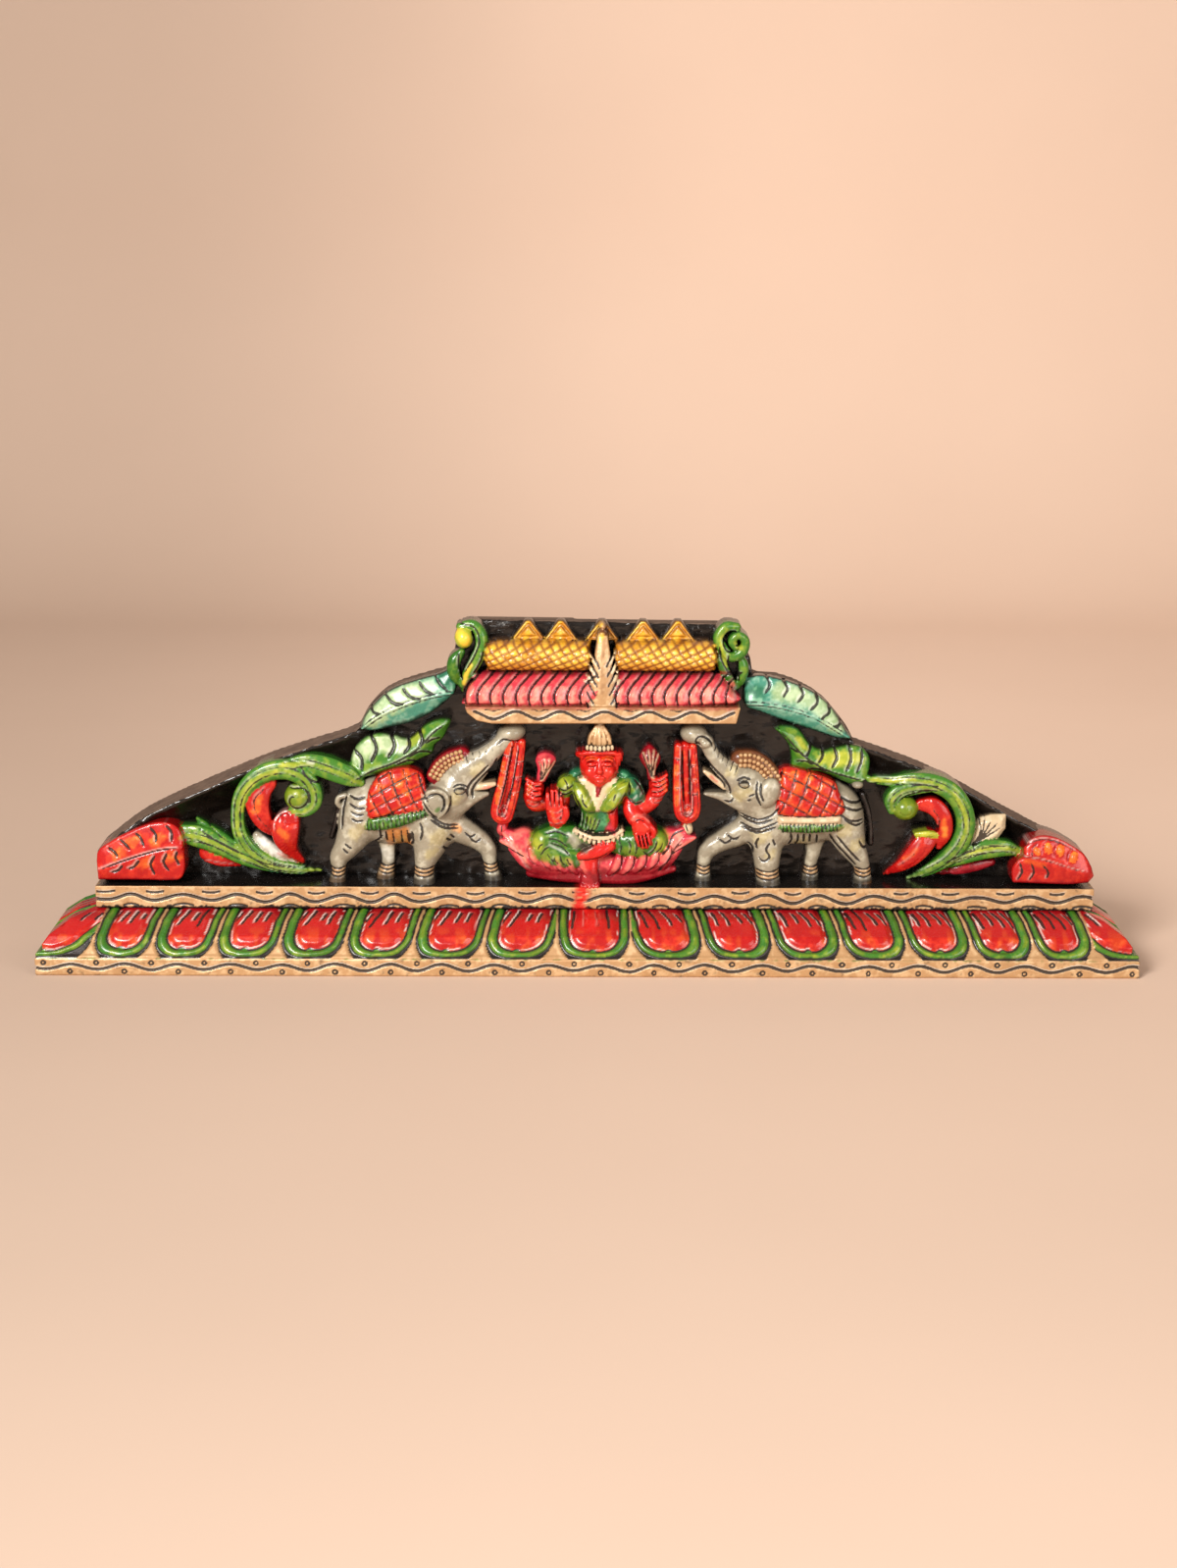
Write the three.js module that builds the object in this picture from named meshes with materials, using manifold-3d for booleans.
// A painted wood panel carved in relief, shaped like a low pediment, on a plinth of drooping lotus petals.
// A four armed goddess sits on a lotus under a canopy, between two elephants with raised trunks.
// Each corner is filled with scrolls and leaves. Millimetres, Z up, the carved face looks along -Y.
// The origin is on the floor, under the middle of the plinth.

import * as THREE from "three";
import { mergeVertices } from "three/addons/utils/BufferGeometryUtils.js";
import Module from "manifold-3d";

const wasm = await Module();
wasm.setup();

// Driving dimensions
const plinthWidth = 914;
const plinthDepth = 100;
const plinthHeight = 47;
const plinthBandHeight = 15;
const seam = 0.3; // gap between the plinth and the block that stands on it
const tolerance = 0.3; // faces flatter than this against each other become one
const blockFront = -12; // the face of the gold band, the shelf and the corner leaves
const blockBack = plinthDepth / 2;
const bandTop = 66; // the ledge that the figures stand on
const blockLeft = -421.5; // both ends are measured from the middle of the carving
const blockRight = 414.5;
const carvingMiddle = 9.5; // the carving sits this far right of the plinth's middle
const ground = 30; // the deep, flat background of the carving
const root = ground + 1; // every raised form starts just inside the ground
const petalsEachSide = 7;
const middlePitch = 61.2; // from the middle petal to the next ones
const crowding = 1.62; // how much closer together each further petal is

// The profile of the plinth above its band: how far in from the outer face, and how high
const plinthProfile = [[0, 15], [3, 17.5], [12, 30], [27, 39.5], [44, 45]];

// Basic solids

// A solid from points and triangles, turned so that its faces look outwards
function solid(points, triangles) {
  let volume = 0;
  const corner = new THREE.Vector3();
  for (const [a, b, c] of triangles) {
    corner.set(...points[b]).cross(new THREE.Vector3(...points[c]));
    volume += corner.dot(new THREE.Vector3(...points[a]));
  }
  const faces = volume < 0 ? triangles.map(([a, b, c]) => [a, c, b]) : triangles;
  return new wasm.Manifold(new wasm.Mesh({
    numProp: 3,
    vertProperties: new Float32Array(points.flat()),
    triVerts: new Uint32Array(faces.flat()),
  }));
}

// A closed skin over rings that have the same number of points, with a flat fan at each end
function loft(rings) {
  const count = rings[0].length;
  const last = (rings.length - 1) * count;
  const triangles = [];
  for (let start = 0; start < last; start += count) {
    for (let i = 0; i < count; i++) {
      const j = (i + 1) % count;
      triangles.push([start + i, start + j, start + count + i]);
      triangles.push([start + j, start + count + j, start + count + i]);
    }
  }
  for (let i = 1; i + 1 < count; i++) {
    triangles.push([0, i + 1, i]);
    triangles.push([last, last + i, last + i + 1]);
  }
  return solid(rings.flat(), triangles);
}

// A flat shape in the XZ plane, as thick as from front to back along Y
function plate(shape, front, back = root, curveSegments = 4) {
  const depth = back - front;
  const block = new THREE.ExtrudeGeometry(shape, { depth, bevelEnabled: false, curveSegments });
  block.deleteAttribute("normal");
  block.deleteAttribute("uv");
  block.rotateX(Math.PI / 2);
  block.translate(0, back, 0);
  const merged = mergeVertices(block, 1e-3);
  return new wasm.Manifold(new wasm.Mesh({
    numProp: 3,
    vertProperties: new Float32Array(merged.attributes.position.array),
    triVerts: new Uint32Array(merged.index.array),
  }));
}

const vectors = (points) => points.map(([x, z]) => new THREE.Vector2(x, z));
const outline = (points) => new THREE.Shape(vectors(points));

// An upright rectangle
function panel(left, right, bottom, top) {
  return outline([[left, bottom], [right, bottom], [right, top], [left, top]]);
}

const join = (parts) => parts.reduce((whole, part) => whole.add(part));

// Merges nearly flat faces, and leaves out the slivers of air that this closes inside the wood
function tidied(body) {
  const pieces = body.simplify(tolerance).decompose();
  return pieces.reduce((most, piece) => (piece.volume() > most.volume() ? piece : most));
}

// Relief forms. They bulge towards the viewer and run straight back into the ground.

// A rounded mound with an oval foot
function dome(x, z, halfWide, halfHigh, front, tilt = 0, edge = front + 12, sides = 7) {
  const levels = [[1, root], [1, Math.min(edge, root - 1)], [0.62, front]];
  if (sides > 7) levels.splice(2, 1, [0.76, front + 0.3 * (edge - front)], [0.36, front]);
  const turn = THREE.MathUtils.degToRad(tilt);
  return loft(levels.map(([size, y]) => Array.from({ length: sides }, (_, i) => {
    const angle = (2 * Math.PI * i) / sides;
    const across = halfWide * size * Math.cos(angle);
    const up = halfHigh * size * Math.sin(angle);
    return [
      x + across * Math.cos(turn) - up * Math.sin(turn),
      y,
      z + across * Math.sin(turn) + up * Math.cos(turn),
    ];
  })));
}

const smoothPath = (points) => new THREE.CatmullRomCurve3(points.map(([x, z]) => new THREE.Vector3(x, 0, z)));

// A rounded rib along a smooth path. Each station is x, z, half width and the height of its front.
function rib(stations, roundness = 1) {
  const path = smoothPath(stations);
  const broad = Math.max(...stations.map(([x, z, half]) => half)) > 9;
  return loft(stations.map(([x, z, half, front], i) => {
    const along = path.getTangent(i / (stations.length - 1));
    const edge = Math.min(front + half * roundness, root - 1);
    const crown = broad ? [[0.5, front], [-0.5, front]] : [[0, front]];
    const section = [[1, root], [1, edge], ...crown, [-1, edge], [-1, root]];
    return section.map(([side, y]) => [x + along.z * half * side, y, z - along.x * half * side]);
  }));
}

// A leaf around a midrib: half widths on its two sides swell until the fullest place and then close
function leaf(midrib, upper, lower, edgeFront, ribFront, fullest) {
  const path = smoothPath(midrib);
  const steps = 5;
  const tip = 0.06;
  const rings = [];
  for (let i = 0; i <= steps; i++) {
    const t = i / steps;
    const swell = Math.sin(Math.min(t / fullest, 1) * Math.PI / 2);
    const close = Math.cos(Math.max((t - fullest) / (1 - fullest), 0) * Math.PI / 2);
    const open = Math.max((swell * Math.max(close, 0)) ** 0.7, tip);
    const point = path.getPoint(t);
    const along = path.getTangent(t);
    const at = (distance, y) => [point.x - along.z * distance, y, point.z + along.x * distance];
    rings.push([
      at(upper * open, root),
      at(upper * open, edgeFront),
      at(0, ribFront),
      at(-lower * open, edgeFront),
      at(-lower * open, root),
    ]);
  }
  return loft(rings);
}

// Cuts a fan of widening veins, V shaped in section, from a midrib towards the edge of a leaf
function veins(body, midrib, count, length, slant, [near, far], side) {
  const path = smoothPath(midrib);
  const cuts = [];
  for (let i = 1; i <= count; i++) {
    const t = i / (count + 1);
    const point = path.getPoint(t);
    const along = path.getTangent(t);
    const reach = new THREE.Vector2(along.x * slant - along.z * side, along.x * side + along.z * slant);
    reach.normalize();
    const ring = (distance, half, y) => [[half, y - 14], [-half, y - 14], [0, y]].map(([k, depth]) => [
      point.x + reach.x * distance - reach.y * k, depth, point.z + reach.y * distance + reach.x * k,
    ]);
    cuts.push(loft([ring(length * 0.22, 8, near), ring(length, 11, far)]));
  }
  return body.subtract(join(cuts));
}

const mirror = (stations) => stations.map(([x, ...rest]) => [-x, ...rest]);

// The board: the outline is one slope, shoulder and horn on each side of a flat top

const leftSlope = [[-386, 120], [-341.5, 142], [-275.5, 170], [-213.5, 190]];
const leftShoulder = [[-202.5, 195], [-191.5, 214], [-171.5, 230], [-124.5, 245]];
const leftHorn = [[-123.5, 249], [-119, 272], [-109.5, 284.5], [-101, 286]];
const rightShoulder = [[155.5, 237], [184.5, 222], [206.5, 197], [213.5, 184]];
const rightSlope = [[278.5, 160], [345.5, 124], [402.5, 94], [410.5, 88]];
const leftEnd = blockLeft + 1;
const rightEnd = blockRight - 4;

function board() {
  const shape = new THREE.Shape();
  shape.moveTo(leftEnd, bandTop - 1);
  shape.lineTo(leftEnd, 94);
  shape.splineThru(vectors(leftSlope));
  shape.splineThru(vectors(leftShoulder));
  shape.splineThru(vectors(leftHorn));
  shape.lineTo(112, 282.5);
  shape.quadraticCurveTo(119, 282, 121.5, 264.5);
  shape.lineTo(120, 256);
  shape.lineTo(125, 256);
  shape.lineTo(127.5, 241);
  shape.splineThru(vectors(rightShoulder));
  shape.splineThru(vectors(rightSlope));
  shape.lineTo(rightEnd, bandTop - 1);
  return plate(shape, ground, blockBack, 2);
}

// The band, and the wood left standing below the figures
function band() {
  const bottom = plinthHeight + seam;
  const face = plate(panel(blockLeft, blockRight, bottom, bandTop), blockFront, blockBack);
  return face.subtract(wave(blockLeft + 6, blockRight - 6, (bottom + bandTop) / 2, 3.4, 44.4, blockFront));
}

// A zigzag groove that stands for a cut wave line
function wave(from, to, height, swing, period, front) {
  const crests = Math.floor((to - from) / (period / 2));
  const deep = 1;
  const half = 1.3;
  const rings = [];
  for (let i = 0; i <= crests; i++) {
    const x = from + (i * period) / 2;
    const z = height + (i % 2 ? swing : -swing);
    rings.push([[x, front - 1, z + 2 * half], [x, front - 1, z - 2 * half], [x, front + deep, z]]);
  }
  return loft(rings);
}

// The sloping rim of wood beside the sunken ground. Each station is x, z and its front.
function rim(stations) {
  const path = smoothPath(stations);
  const behind = ground + 8;
  const flat = 5;
  const wide = 24;
  return loft(stations.map(([x, z, front], i) => {
    const along = path.getTangent(i / (stations.length - 1));
    const at = (distance, y) => [x + along.z * distance, y, z - along.x * distance];
    return [at(0, behind), at(0, front), at(flat, front + 1), at(wide, ground - 1), at(wide, behind)];
  }));
}

const leftRim = () => rim([
  [-419.5, 95, -3], [-386, 119.8, -1], [-341.5, 141.8, 0], [-275.5, 169.8, 6], [-214.5, 189.8, 15],
]);
const rightRim = () => rim([
  [215, 183, 20], [278.5, 159.8, 16], [345.5, 123.8, 14], [402.5, 93.8, 10], [409.5, 88, 10],
]);

// The animals face each other, each in its own pose

function rightElephant() {
  return join([
    dome(172, 127, 44, 32, -5, 0, 14),
    dome(203, 122, 21, 28, -3, 14, 14),
    dome(145, 116, 24, 24, -5, 0, 12),
    rib([[205, 120, 16, 0], [213, 97, 11.5, -1], [222, 80, 7.5, 0], [222.5, 65, 8.5, 1]]),
    rib([[183, 108, 10, 12], [180.5, 88, 7, 12], [179, 74, 7, 12], [178.5, 65, 8.5, 11]]),
    rib([[139, 114, 18, -4], [141, 92, 12, -5], [141.5, 76, 9.6, -5], [142.5, 65, 10.5, -6]]),
    rib([[126, 112, 13, 3], [102, 99.5, 9, 6], [89, 84, 6.5, 8], [87.5, 65, 8, 8]]),
    rib([[150, 121, 25, 0], [137, 136, 23, -4], [124, 150, 18, -6], [108, 160.5, 11, -4],
      [96.5, 172.5, 7, -2], [89, 185, 6.5, -1], [80, 194, 9, -3], [70, 193, 5, 2]], 0.8),
    rib([[119, 137, 8, -3], [104, 140.5, 4.4, -1], [88, 143.5, 1.4, 2]]),
    rib([[104, 150, 3, 0], [95, 157.5, 3, -3], [87, 163.5, 1.2, -1]]),
    rib([[221, 141, 2.6, 12], [229, 112, 2.4, 13], [229.5, 98, 3, 15]]),
    rib([[117, 173, 6.5, -1], [132, 170, 8.5, -2], [147, 155, 6, -2]]),
    dome(140, 146, 9.5, 13.5, -10, -24, -4),
    blanket(1),
    collar(1),
  ]);
}

function leftElephant() {
  return join([
    dome(-174, 127, 43, 32, -5, 0, 14),
    dome(-201, 121, 19, 27, -3, -10, 14),
    dome(-142, 113, 23, 23, -5, 0, 12),
    rib([[-202, 118, 16, 0], [-211, 98, 11.5, -1], [-219, 84, 7.4, 0], [-221, 65, 7.5, 1]]),
    rib([[-180, 110, 11, 12], [-178.5, 88, 6.8, 12], [-180, 73, 7.2, 12], [-181, 65, 9, 11]]),
    rib([[-139, 113, 18, -4], [-145, 90, 10.8, -5], [-147.5, 75, 8.4, -5], [-147.5, 65, 9.6, -6]]),
    rib([[-124, 113, 13, 3], [-103, 101, 9.4, 6], [-92.5, 84, 6.5, 8], [-89.5, 65, 8.2, 8]]),
    rib([[-149, 120, 23, 0], [-135, 133, 21, -4], [-121, 148, 19, -6], [-105, 166, 12.5, -4],
      [-90, 178.5, 8.2, -2], [-80, 188, 8, -3], [-72, 194.5, 9.5, -4], [-63, 195.5, 4, 3]], 0.8),
    rib([[-117, 134, 9, -3], [-104, 140, 4.8, -1], [-94, 142.8, 1.8, 2]]),
    rib([[-102, 148.6, 2.8, 0], [-95, 150.3, 3, -3], [-88, 152, 1.6, -1]]),
    rib([[-213, 143, 2.4, 8], [-221, 136, 2.6, 8], [-219.5, 128, 2.2, 11], [-224, 108, 2.4, 14]]),
    rib([[-138, 158, 5, -1], [-127, 171, 7, -2], [-115, 176, 5.5, -1]]),
    dome(-137.5, 137, 11, 12.5, -10, 18, -4),
    blanket(-1),
    collar(-1),
  ]);
}

// The quilted blanket is cut from a fuller copy of the body, with a trim and a fringe below it
function blanket(hand) {
  const turned = (points) => outline(hand > 0 ? points : mirror(points).reverse());
  const swollen = (grow) => dome(hand * 172, 128, 43 + grow, 34 + grow, -6 - grow, 0, 14 - grow, 9);
  const hem = [[150, 125], [201, 125], [202, 140], [196, 157], [175, 166], [152, 165], [146, 145]];
  const cloth = plate(turned(hem), -20);
  const fringe = plate(turned([[149, 113], [202, 113], [202, 126], [149, 126]]), -20);
  const quilt = [];
  for (const lean of [-1, 1]) {
    for (const across of [-11, 11]) {
      const x = hand * (174 + across);
      quilt.push(loft([-24, 24].map((run) => [[-1.1, -16], [1.1, -16], [0, -7.2]].map(([k, y]) => [
        x + lean * run * 0.8 + k, y, 145 + run,
      ]))));
    }
  }
  const padded = swollen(3).intersect(cloth).subtract(join(quilt));
  return padded.add(swollen(4).intersect(fringe));
}

// The fold of skin at the base of the neck
function collar(hand) {
  const fold = [[119, 122, 1.6, -4], [135.5, 120, 1.8, -8], [150, 126, 1.6, -4]];
  return rib(hand > 0 ? fold : mirror(fold));
}

// A hanging garland: two strands that meet in a loop, with a bud or a tassel below
function garland(top, bottom, upper, lower) {
  const half = 7;
  const middle = (top + bottom) / 2;
  const waist = (upper + lower) / 2;
  const strands = rib([
    [top - half, upper, 4.5, -1], [middle - half - 2, waist, 5.5, -5], [bottom - half, lower + 9, 5.5, -5],
    [bottom, lower + 4, 5.5, -6], [bottom + half, lower + 9, 5.5, -5],
    [middle + half + 2, waist, 5.5, -5], [top + half, upper, 4.5, -1],
  ]);
  const heart = rib([[top, upper, 4, 4], [bottom, lower + 6, 5, 4]]);
  return join([strands, heart, dome(bottom, lower - 7, 5, 9, 2)]);
}

// The goddess on her lotus

function goddess() {
  const parts = [
    dome(-0.5, 169, 14.5, 17.5, -7, 0, 5, 9),
    rib([[-0.5, 175, 2, -7], [-0.5, 166, 3.5, -11]]),
    rib([[0, 178, 16, -6], [0, 184, 16, -6]]),
    rib([[0, 184, 13, -4], [0, 191, 11, -3], [0, 198, 7, 0], [0, 203.5, 2.5, 4]]),
    rib([[0, 160, 8, 0], [0, 148, 10, -1]]),
    rib([[0, 156, 24, 4], [0, 144, 26, -3], [0, 130, 19, -3], [0, 117, 15, -3], [0, 106, 21, -5]], 0.5),
    dome(-13.5, 141, 9.5, 9.5, -10, 0, -3),
    dome(13, 140, 9.5, 9.5, -10, 0, -3),
    rib([[-19, 109, 3, -6], [0, 105, 4.5, -9], [19, 109, 3, -6]]),
  ];
  // Front arms: the left palm is raised, and the right hand hangs open over the knee
  parts.push(rib([[-27, 154, 9, 1], [-38, 144, 9, 0], [-38, 132, 8, -2]]));
  parts.push(rib([[-37, 120, 9, -8], [-36, 130, 11, -10], [-35, 140, 10.5, -10], [-34, 147, 8, -8]], 0.5));
  parts.push(rib([[27, 155, 9, 1], [33, 145, 10, -3], [29, 133, 9, -7]]));
  parts.push(rib([[24, 132, 8, -8], [31, 124, 7.5, -9], [36, 114, 9, -10], [38, 105, 9.5, -11],
    [37, 97, 5, -10]], 0.6));
  // Back arms, each with a lotus bud
  parts.push(rib([[-30, 152, 7, 8], [-50, 136, 8, 6], [-55, 146, 10, 2], [-50, 157, 4, 4],
    [-46, 166, 6.5, 3], [-45, 175, 9.5, 4], [-45, 178, 5, 8]], 0.7));
  parts.push(rib([[34, 130, 7, 2], [47, 134, 8.5, 1], [50, 146, 9.5, 1], [46, 158, 4.5, 4],
    [42, 168, 7, 3], [41, 177, 9.5, 4], [41, 183, 4, 8]], 0.7));
  // Folded legs, the foot in the lap and the foot that hangs over the ledge
  parts.push(rib([[-12, 104, 11, -4], [-32, 103, 13, -8], [-48, 101, 11, -8], [-56, 99, 5, -4]], 0.7));
  parts.push(rib([[-50, 94, 8, -8], [-34, 88, 9, -10], [-16, 86, 7, -9]], 0.7));
  parts.push(rib([[10, 102, 11, -5], [32, 101, 13, -9], [50, 103, 11, -8], [57, 104, 5, -4]], 0.7));
  parts.push(rib([[-14, 94, 4.5, -10], [-2, 97, 5.5, -12], [14, 100, 6.5, -10]], 0.6));
  parts.push(rib([[-7, 88, 6, -10], [-8, 77, 7, -11], [-8, 70, 9.5, -12], [-8, 65, 9, -12]], 0.5));
  return join([...parts, lotusSeat()]);
}

// The seat curls up to a point at each end, with petals turned over its edge
function lotusSeat() {
  const parts = [
    rib([[0, 80, 13.5, -6], [-34, 82, 13, -8], [-56, 88, 13, -7], [-70, 100, 9, -3], [-82, 110, 2, 2]], 0.7),
    rib([[0, 80, 13.5, -6], [32, 82, 13, -8], [52, 90, 14, -7], [63, 102, 9, -3], [73, 113, 2, 2]], 0.7),
  ];
  for (const side of [-1, 1]) {
    for (let i = 0; i < 3; i++) {
      const x = side * (17 + 14 * i);
      parts.push(rib([[x - side * 3, 86, 3.5, -9.5], [x + side * 5, 72, 2, -9.5]]));
    }
  }
  return join(parts);
}

// The canopy: a shelf, two petal cushions, two lattice rolls, a row of triangles and a finial

const shelfBottom = 206;
const shelfTop = 220;

// A bolster along X. Its surface swells between furrows, and odd rings can be turned by half a side.
function bolster(from, to, middle, halfHigh, front, swells, deep, lattice = false) {
  const rings = [];
  const sides = 6;
  const waterline = ground - 4;
  for (let i = 0; i <= 2 * swells; i++) {
    const t = i / (2 * swells);
    const full = Math.min(1, 0.72 + 2.4 * Math.min(t, 1 - t)) - (i % 2 ? 0 : deep);
    const x = from + (to - from) * t;
    const shift = lattice && i % 2 ? 0.2 : -0.2;
    const ring = [[x, root, middle + halfHigh * full]];
    for (let k = 1; k < sides; k++) {
      const angle = (Math.PI * (k - 0.5 + shift)) / (sides - 1);
      const bulge = (waterline - front) * full * Math.sin(angle) ** 0.7;
      ring.push([x, waterline - bulge, middle + halfHigh * full * Math.cos(angle)]);
    }
    rings.push([...ring, [x, root, middle - halfHigh * full]]);
  }
  return loft(rings);
}

function canopy() {
  const shelf = new THREE.Shape();
  shelf.moveTo(-109, shelfBottom + 9);
  shelf.quadraticCurveTo(-104, shelfBottom, -84, shelfBottom);
  shelf.lineTo(112, shelfBottom);
  shelf.lineTo(116, shelfTop);
  shelf.lineTo(-112, shelfTop);
  const tray = plate(shelf, blockFront, root, 3);
  const parts = [
    tray.subtract(wave(-98, 108, (shelfBottom + shelfTop) / 2, 3, 38, blockFront)),
    bolster(-110, -9, 233.5, 14, -8, 5, 0.08),
    bolster(12, 108, 233.5, 14, -8, 5, 0.08),
    bolster(-98, -6, 258.5, 14.5, 1, 4, 0.05, true),
    bolster(9, 97, 258.5, 14.5, 1, 4, 0.05, true),
  ];
  for (const x of [-60, -33, 35, 64]) parts.push(pyramid(x, 270, 14, 16));
  return join([...parts, finial(), cornerScroll(-1), cornerScroll(1)]);
}

// A triangle with a raised middle
function pyramid(x, z, half, high) {
  const foot = (y, k) => [[x - half * k, y, z], [x + half * k, y, z], [x, y, z + high * k]];
  return loft([foot(root, 1), foot(20, 1), foot(13, 0.4).map(([a, y, c]) => [a, y, c + 3.5])]);
}

// A fluted cone between the two cushions, with a fan of small leaves on each flank
function finial() {
  const middle = 1.5;
  const cone = [[middle, 220, 14, -9], [middle, 236, 11.5, -8], [middle, 258, 8, -5], [middle, 276, 5, 0],
    [middle, 282, 2, 8]];
  const parts = [rib(cone, 0.8)];
  for (const side of [-1, 1]) {
    for (const z of [226, 240]) {
      const x = middle + side * (11 - (z - 226) * 0.25);
      parts.push(rib([[x - side * 3, z - 4, 3, -8], [x + side * 4, z + 7, 1, -3]]));
    }
  }
  return join(parts);
}

// The scroll that closes each top corner: a ball in the crook of a stem, with a petal beside it
function cornerScroll(side) {
  const x = (distance) => side * distance;
  return join([
    rib([[x(112), 264, 4, 6], [x(119), 271, 4.5, 5], [x(112), 282, 4.5, 5], [x(101), 281, 5, 4],
      [x(98), 270, 5.5, 3], [x(103), 257, 6, 4], [x(111), 244, 5, 7], [x(114), 232, 3, 12]], 0.8),
    dome(x(111), 271, 8, 8.5, 2),
    rib([[x(111), 262, 3, 8], [x(118), 250, 6, 7], [x(118), 236, 3, 14]], 0.8),
  ]);
}

// Leaves and scrolls of the left side

function leftFoliage() {
  const tealRib = [[-203, 196], [-184, 207], [-160, 218], [-122, 229]];
  const greenRib = [[-206, 155], [-186, 163], [-165, 172], [-146, 189], [-127, 203]];
  const teal = veins(leaf(tealRib, 20, 17, 16, 10, 0.5), tealRib, 3, 22, 0.5, [13, 18], 1);
  const green = veins(leaf(greenRib, 23, 12, 12, 6, 0.3), greenRib, 3, 22, 0.5, [9, 14.5], 1);
  const scroll = rib([[-236, 73, 1.5, 14], [-255, 75, 5, 4], [-277, 81, 7, 0], [-293, 93, 6.5, -2],
    [-302, 110, 5.5, -2], [-303, 127, 5.5, -2], [-298, 145, 6, -3], [-284, 159, 7, -4],
    [-266, 163, 8, -4], [-250, 159, 8, -3], [-240, 147, 7.5, -3], [-240, 134, 7, -2],
    [-249, 127, 5, -1], [-258, 130, 3.5, 0]]);
  return join([
    teal,
    green,
    scroll,
    dome(-252, 138, 8, 8, -6),
    rib([[-262, 166, 4, 2], [-240, 167, 8, 0], [-220, 160, 9, 1], [-202, 152, 4, 6]], 0.7),
    rib([[-278, 154, 5, 3], [-286, 142, 9, -1], [-288, 126, 9, -1], [-279, 111, 5, 3]], 0.8),
    rib([[-263, 128, 6, 0], [-266, 117, 10, -4], [-264, 106, 9, -3], [-262, 92, 4, 4],
      [-250, 82, 2, 10]], 0.8),
    rib([[-287, 104, 4, 6], [-276, 92, 7, 3], [-262, 82, 4, 8]], 0.7),
    rib([[-350, 105, 7, 1], [-334, 104, 10, -1], [-312, 96, 9, 0], [-290, 83, 7, 1], [-262, 74, 4, 8]], 0.7),
    rib([[-336, 118, 1.5, 8], [-326, 108, 4, 4], [-306, 98, 5, 2]]),
    rib([[-328, 88, 9, 4], [-314, 84, 7, 3], [-298, 78, 2, 8]], 0.7),
    cornerLeaf(-1),
  ]);
}

// Leaves and scrolls of the right side

function rightFoliage() {
  const tealRib = [[209, 190], [182, 207], [156, 217], [122, 222]];
  const greenRib = [[225, 154], [206, 158], [184, 166], [168, 178], [147, 198]];
  const teal = veins(leaf(tealRib, 14, 22, 16, 10, 0.5), tealRib, 3, 22, 0.5, [13, 18], -1);
  const green = veins(leaf(greenRib, 6, 20, 12, 6, 0.25), greenRib, 3, 22, 0.5, [9, 14.5], -1);
  const scroll = rib([[226, 155, 4, 8], [246, 155, 5, 3], [262, 157, 6, 0], [280, 153, 7, -3],
    [296, 144, 7.5, -3], [305, 130, 7.5, -3], [307, 112, 7.5, -2], [300, 94, 7.5, 0],
    [286, 80, 6, 3], [264, 69, 3, 12]]);
  return join([
    teal,
    green,
    scroll,
    rib([[276, 151, 4, 0], [260, 149, 6, -2], [247, 143, 6, -2], [244, 134, 5, -1], [247, 126, 3, 4]]),
    dome(256, 131, 8.5, 7.5, -5),
    rib([[268, 138, 5, 1], [282, 132, 8, -1], [289, 118, 7, -1], [288, 104, 4, 4]], 0.8),
    rib([[276, 108, 10, 1], [267, 95, 9, 0], [256, 83, 6, 2], [244, 73, 2, 12]], 0.8),
    rib([[292, 80, 5, 6], [306, 90, 7, 3], [326, 97, 9, 1], [344, 98, 6, 2], [354, 95, 3, 8]], 0.7),
    rib([[311, 100, 5, 8], [322, 110, 9, 6], [336, 122, 12, 6]], 0.6),
    rib([[288, 73, 2, 14], [310, 77, 4, 10], [330, 82, 4, 12]]),
    cornerLeaf(1),
  ]);
}

// The broad red leaf that fills the low corner, cut with curved veins
function cornerLeaf(side) {
  const left = [[-420, 66], [-350, 66], [-346, 84], [-349, 108], [-360, 119], [-378, 118], [-400, 107],
    [-420, 93]];
  const right = [[346, 66], [410, 66], [410, 88], [396, 101], [380, 110], [364, 110], [355, 104], [355, 92],
    [346, 84]];
  const body = plate(outline(side < 0 ? left : right), blockFront);
  const midrib = side < 0 ? [[-412, 84], [-385, 88], [-348, 101]] : [[404, 84], [378, 90], [352, 97]];
  const depths = [blockFront + 3, blockFront + 3];
  const upper = veins(body, midrib, 4, 22, 0.4, depths, -side);
  return veins(upper, midrib, 3, 20, 0.4, depths, side);
}

function carvedPanel() {
  const relief = [board(), band(), leftRim(), rightRim(), leftElephant(), rightElephant()];
  relief.push(garland(-69, -81, 186, 120));
  relief.push(garland(71, 73, 186, 121));
  relief.push(goddess(), canopy(), leftFoliage(), rightFoliage());
  const room = panel(blockLeft - 5, blockRight + 5, plinthHeight + seam, 400);
  const carved = join(relief).intersect(plate(room, blockFront - 2, blockBack));
  return tidied(carved.translate([carvingMiddle, 0, 0]));
}

// The plinth: stacked sections with mitred corners and a flat back, dressed with drooping petals

// A point on the sloping face, where run goes from 0 at the band to 1 at the top, lifted off the face
function slope(run, lift) {
  const place = run * (plinthProfile.length - 1);
  const i = Math.min(Math.floor(place), plinthProfile.length - 2);
  const [inA, upA] = plinthProfile[i];
  const [inB, upB] = plinthProfile[i + 1];
  const share = place - i;
  const length = Math.hypot(inB - inA, upB - upA);
  return {
    inset: inA + (inB - inA) * share - (lift * (upB - upA)) / length,
    height: upA + (upB - upA) * share + (lift * (inB - inA)) / length,
  };
}

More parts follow.
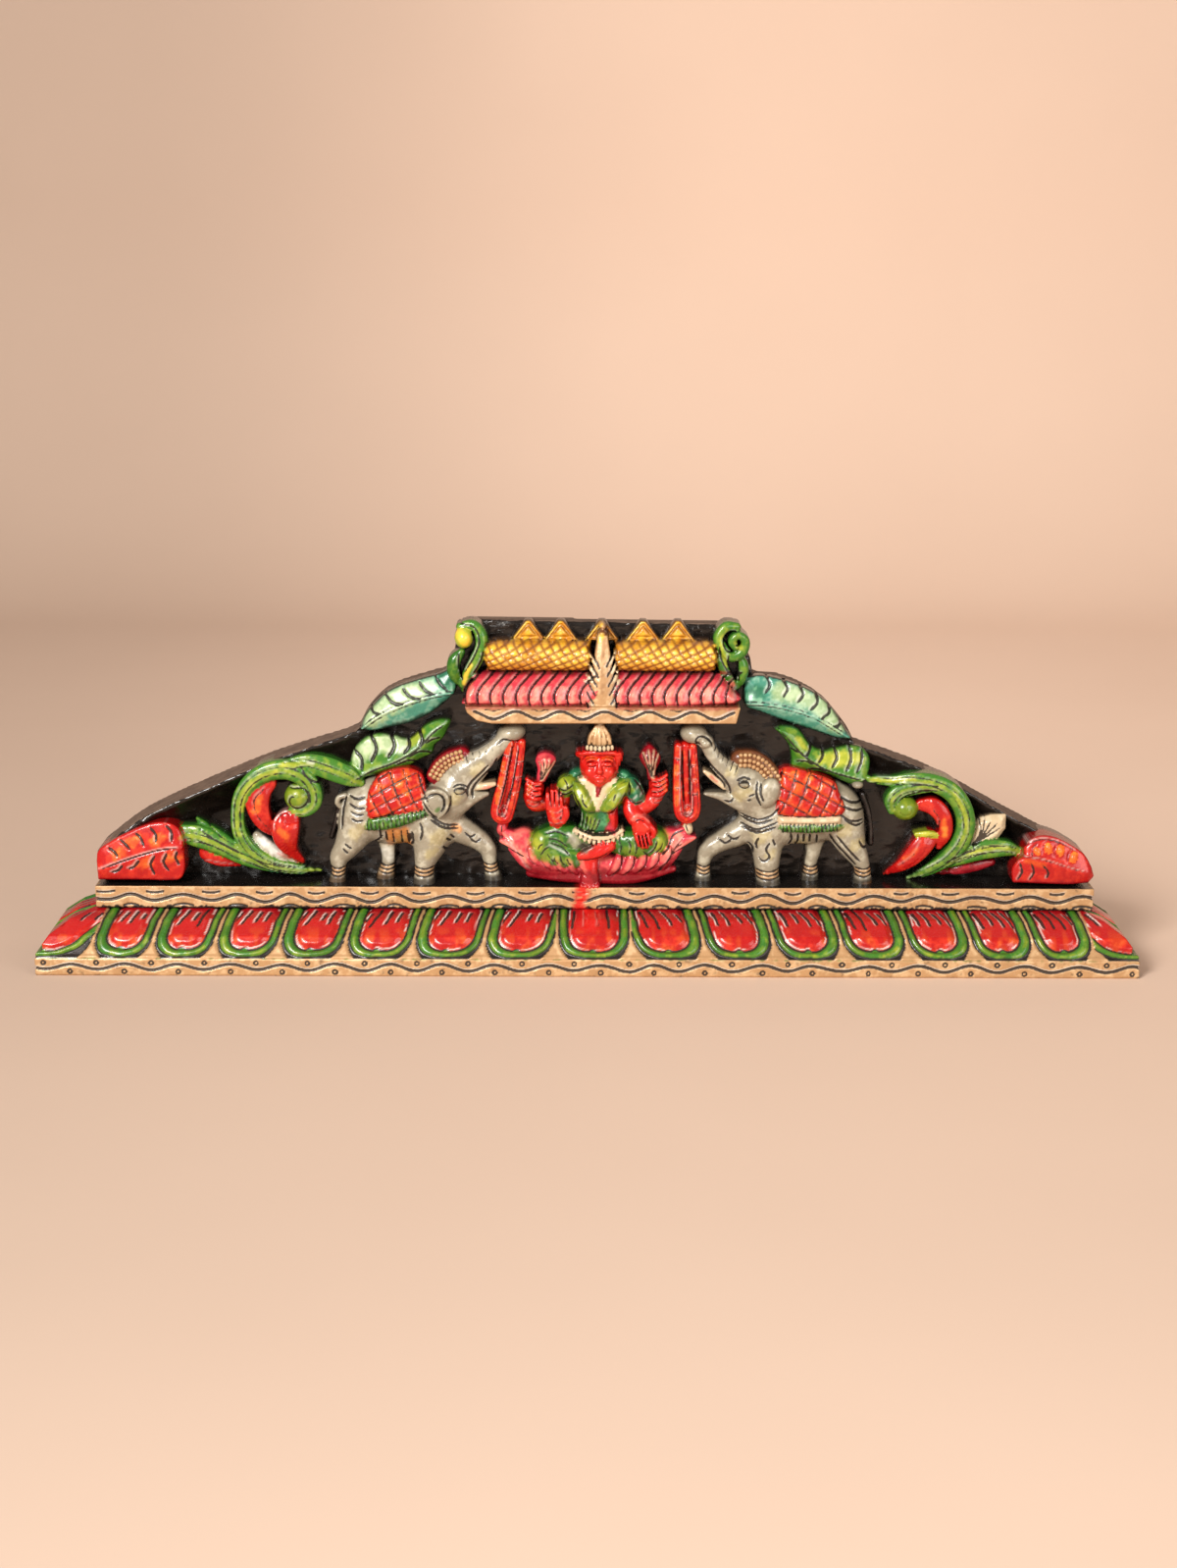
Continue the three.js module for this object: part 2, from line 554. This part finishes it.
// One petal: a raised hem, shaped like a U, around a hollow. Place turns a point to its side.
function petal(place, width, slant) {
  const hem = [[-1, 0.95], [-1, 0.5], [-0.72, 0.18], [0, 0.06], [0.72, 0.18], [1, 0.5], [1, 0.95]];
  const waist = 0.6;
  const ring = (size, lift) => hem.map(([side, run]) => {
    const level = run > 0.9 ? run : waist + (run - waist) * size;
    return place((side * size * width) / 2 + slant * (level - 0.4), slope(level, lift));
  });
  return loft([ring(1, -3), ring(0.95, 2.2), ring(0.68, 0.7)]);
}

function lotusPlinth() {
  const halfWide = plinthWidth / 2;
  const front = -plinthDepth / 2;
  const sections = [[0, 0], ...plinthProfile, [50, plinthHeight]];
  const core = loft(sections.map(([inset, height]) => {
    const x = halfWide - inset;
    const y = front + inset;
    return [[-x, blockBack, height], [-x, y, height], [x, y, height], [x, blockBack, height]];
  }));
  const gap = 7;
  const lean = 10;
  const endPitch = 54;
  const parts = [core.subtract(wave(-halfWide + 8, halfWide - 8, plinthBandHeight / 2, 2.6, 44, front))];
  for (let i = -petalsEachSide; i <= petalsEachSide; i++) {
    const x = i * (middlePitch - (crowding / 2) * Math.abs(i)) + carvingMiddle / 2;
    const pitch = middlePitch - crowding * Math.abs(i);
    const frontPlace = (across, { inset, height }) => [x + across, front + inset, height];
    parts.push(petal(frontPlace, pitch - gap, -Math.sign(i) * lean));
  }
  for (const side of [-1, 1]) {
    const sidePlace = (across, { inset, height }) => [side * (halfWide - inset), 16 + across, height];
    const hipPlace = (across, { inset, height }) => [
      side * (halfWide - inset + Math.min(across, 0)), front + inset + Math.max(across, 0), height,
    ];
    parts.push(petal(sidePlace, endPitch - gap, 0));
    parts.push(petal(hipPlace, endPitch / 2, 0));
  }
  return tidied(join(parts));
}

// The two wooden pieces as meshes

function mesh(name, body, material) {
  const { vertProperties, triVerts, numProp } = body.getMesh();
  const points = new Float32Array((vertProperties.length / numProp) * 3);
  for (let i = 0; i < points.length / 3; i++) {
    for (let k = 0; k < 3; k++) points[3 * i + k] = vertProperties[numProp * i + k];
  }
  const geometry = new THREE.BufferGeometry();
  geometry.setAttribute("position", new THREE.BufferAttribute(points, 3));
  geometry.setIndex(new THREE.BufferAttribute(new Uint32Array(triVerts), 1));
  geometry.computeVertexNormals();
  const made = new THREE.Mesh(geometry, material);
  made.name = name;
  return made;
}

const blackEnamel = new THREE.MeshStandardMaterial({ color: 0x2a211d, roughness: 0.3, metalness: 0 });
const redEnamel = new THREE.MeshStandardMaterial({ color: 0xd8452c, roughness: 0.3, metalness: 0 });

const group = new THREE.Group();
group.add(mesh("carved_panel", carvedPanel(), blackEnamel));
group.add(mesh("lotus_plinth", lotusPlinth(), redEnamel));

export default group;
